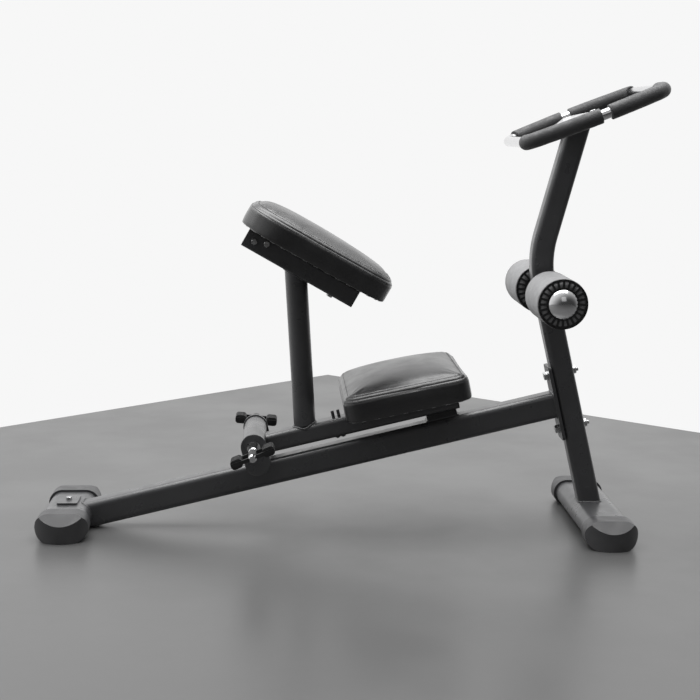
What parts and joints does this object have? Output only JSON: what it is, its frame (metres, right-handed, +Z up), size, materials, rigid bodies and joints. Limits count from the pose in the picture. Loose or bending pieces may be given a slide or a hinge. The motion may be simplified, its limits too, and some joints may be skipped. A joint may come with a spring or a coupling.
{
  "type": "stretching machine",
  "caption": "Seated stretch trainer with a rocking seat and knee pad carriage, foam foot rollers, spinning foot pedals and a closed loop handle.",
  "frame": {"origin": "on the floor, in the middle of the machine's length and width", "axes": "+X from the rear foot to the handle, +Z up, Y = 0 is the plane of symmetry of the frame"},
  "size_m": [1.4922, 0.537, 1.0943],
  "materials": {
    "frame_paint": "satin",
    "plate_grey": "satin",
    "cap_rubber": "satin",
    "chrome": "polished",
    "zinc": "bright zinc plated",
    "grip_foam": "matt closed-cell foam",
    "roller_foam": "matt closed-cell foam",
    "black_plastic": "moulded matt",
    "tread_rubber": "moulded matt",
    "vinyl": "satin grained vinyl",
    "plywood": "raw plywood"
  },
  "bodies": {
    "frame": {"rear_foot_tube": "frame_paint", "front_foot_tube": "frame_paint", "rear_foot_cap_right": "cap_rubber", "rear_foot_cap_left": "cap_rubber", "front_foot_cap_right": "cap_rubber", "front_foot_cap_left": "cap_rubber", "rear_anchor_plate": "frame_paint", "rear_anchor_screw": "zinc", "main_beam": "frame_paint", "upright_post": "frame_paint", "beam_flange": "frame_paint", "flange_bolts": "zinc", "flange_nuts": "zinc", "flange_washers": "zinc", "handle_loop": "chrome", "grip_right_rear": "grip_foam", "grip_right_front": "grip_foam", "grip_left_front": "grip_foam", "grip_left_rear": "grip_foam", "handle_cross_plate": "plate_grey", "post_top_plate": "frame_paint", "handle_bolts": "zinc", "handle_nuts": "zinc", "roller_axle": "zinc", "roller_spacers": "zinc", "roller_domes": "chrome", "pivot_bracket": "frame_paint", "pivot_shaft": "chrome", "shaft_collars": "chrome", "pedal_end_nuts": "chrome", "bumper_plate": "frame_paint", "bumper_block": "tread_rubber"},
    "carriage": {"pivot_tube": "frame_paint", "pivot_bushes": "black_plastic", "carriage_tube": "frame_paint", "carriage_end_cap": "black_plastic", "carriage_bolts": "frame_paint", "carriage_nuts": "frame_paint", "seat_post": "frame_paint", "seat_channel": "frame_paint", "seat_channel_plugs": "black_plastic", "seat_plate": "frame_paint", "seat_bolts": "zinc", "seat_cross_bolts": "zinc", "seat_board": "plywood", "seat_pad": "vinyl", "knee_bracket": "frame_paint", "knee_bolts": "zinc", "knee_board": "plywood", "knee_pad": "vinyl"},
    "roller_left": {"roller_foam_left": "roller_foam", "roller_core_left": "black_plastic", "roller_rings_left": "black_plastic"},
    "roller_right": {"roller_foam_right": "roller_foam", "roller_core_right": "black_plastic", "roller_rings_right": "black_plastic"},
    "pedal_left": {"pedal_body_left": "black_plastic", "pedal_treads_left": "tread_rubber"},
    "pedal_right": {"pedal_body_right": "black_plastic", "pedal_treads_right": "tread_rubber"}
  },
  "joints": [
    {"name": "carriage_tilt", "type": "hinge", "parent": "frame", "child": "carriage", "pos_m": [-0.22277, 0, 0.22604], "axis": [0, -1, 0], "range_deg": [0, 12]},
    {"name": "roller_left_spin", "type": "hinge", "parent": "frame", "child": "roller_left", "pos_m": [0.48791, 0, 0.587], "axis": [0, 1, 0], "continuous": true},
    {"name": "roller_right_spin", "type": "hinge", "parent": "frame", "child": "roller_right", "pos_m": [0.48791, 0, 0.587], "axis": [0, 1, 0], "continuous": true},
    {"name": "pedal_left_spin", "type": "hinge", "parent": "frame", "child": "pedal_left", "pos_m": [-0.22277, 0, 0.22604], "axis": [0, 1, 0], "continuous": true},
    {"name": "pedal_right_spin", "type": "hinge", "parent": "frame", "child": "pedal_right", "pos_m": [-0.22277, 0, 0.22604], "axis": [0, 1, 0], "continuous": true}
  ]
}
